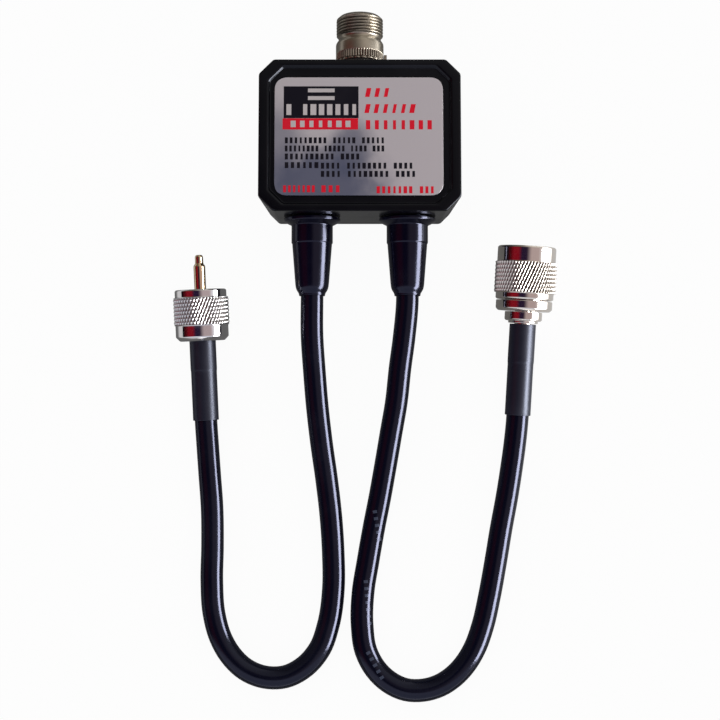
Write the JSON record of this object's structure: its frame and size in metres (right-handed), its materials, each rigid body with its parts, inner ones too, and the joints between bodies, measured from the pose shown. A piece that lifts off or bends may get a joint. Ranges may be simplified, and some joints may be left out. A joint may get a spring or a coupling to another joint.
{
  "type": "rf duplexer",
  "caption": "Moulded box with a threaded antenna socket on one end and two coax leads on the other, one with a UHF plug and one with an N plug.",
  "frame": {"origin": "centre of the rear cover's flat back face, which lies on the bench", "axes": "+X to the right of the label, +Y along the box towards the antenna socket, +Z out of the label"},
  "size_m": [0.1299, 0.2308, 0.033],
  "materials": {
    "black_plastic": "moulded black, half gloss",
    "black_rubber": "smooth black",
    "black_jacket": "smooth black cable jacket",
    "silver_label": "satin silver with printed fields",
    "nickel": "bright nickel plate",
    "gold": "gold plate",
    "white_insulator": "turned white insulator",
    "steel_screw": "plated steel",
    "green_board": "green solder mask",
    "tin_plate": "tinned sheet",
    "copper_wire": "bare copper wire",
    "ceramic": "dipped ceramic",
    "red_seal": "red silicone"
  },
  "bodies": {
    "duplexer": {"front_cover": "black_plastic", "rear_cover": "black_plastic", "cover_screw_1": "steel_screw", "cover_screw_2": "steel_screw", "cover_screw_3": "steel_screw", "cover_screw_4": "steel_screw", "label_plate": "silver_label", "socket_body": "nickel", "socket_insulator": "white_insulator", "socket_contact": "gold", "socket_gasket": "black_rubber", "socket_lock_washer": "nickel", "socket_nut": "nickel", "circuit_board": "green_board", "board_screw_1": "steel_screw", "board_screw_2": "steel_screw", "shield_partition": "tin_plate", "antenna_link": "copper_wire", "low_pass_coil_1": "copper_wire", "low_pass_coil_2": "copper_wire", "low_pass_capacitor_1": "ceramic", "low_pass_capacitor_2": "ceramic", "high_pass_capacitor_1": "ceramic", "high_pass_capacitor_2": "ceramic", "high_pass_coil": "copper_wire", "low_band_clamp": "tin_plate", "high_band_clamp": "tin_plate", "low_band_core": "copper_wire", "high_band_core": "copper_wire", "low_band_boot": "black_rubber", "high_band_boot": "black_rubber", "low_band_cable": "black_jacket", "high_band_cable": "black_jacket", "low_band_sleeve": "black_rubber", "high_band_sleeve": "black_rubber", "uhf_ferrule": "nickel", "uhf_body": "nickel", "uhf_insulator": "white_insulator", "uhf_pin": "gold", "n_ferrule": "nickel", "n_clamp_nut": "nickel", "n_body": "nickel", "n_insulator": "white_insulator", "n_pin": "gold", "n_gasket": "red_seal", "n_snap_ring": "steel_screw"},
    "uhf_coupling_ring": {"uhf_coupling_ring": "nickel"},
    "n_coupling_nut": {"n_coupling_nut": "nickel"}
  },
  "joints": [
    {"name": "uhf_ring_turn", "type": "hinge", "parent": "duplexer", "child": "uhf_coupling_ring", "pos_m": [-0.0531, -0.0652, 0.00862], "axis": [-0.0421, 0.9881, 0.1478], "continuous": true},
    {"name": "n_nut_turn", "type": "hinge", "parent": "duplexer", "child": "n_coupling_nut", "pos_m": [0.0554, -0.0552, 0.00951], "axis": [0.057, 0.9886, 0.1392], "continuous": true}
  ]
}
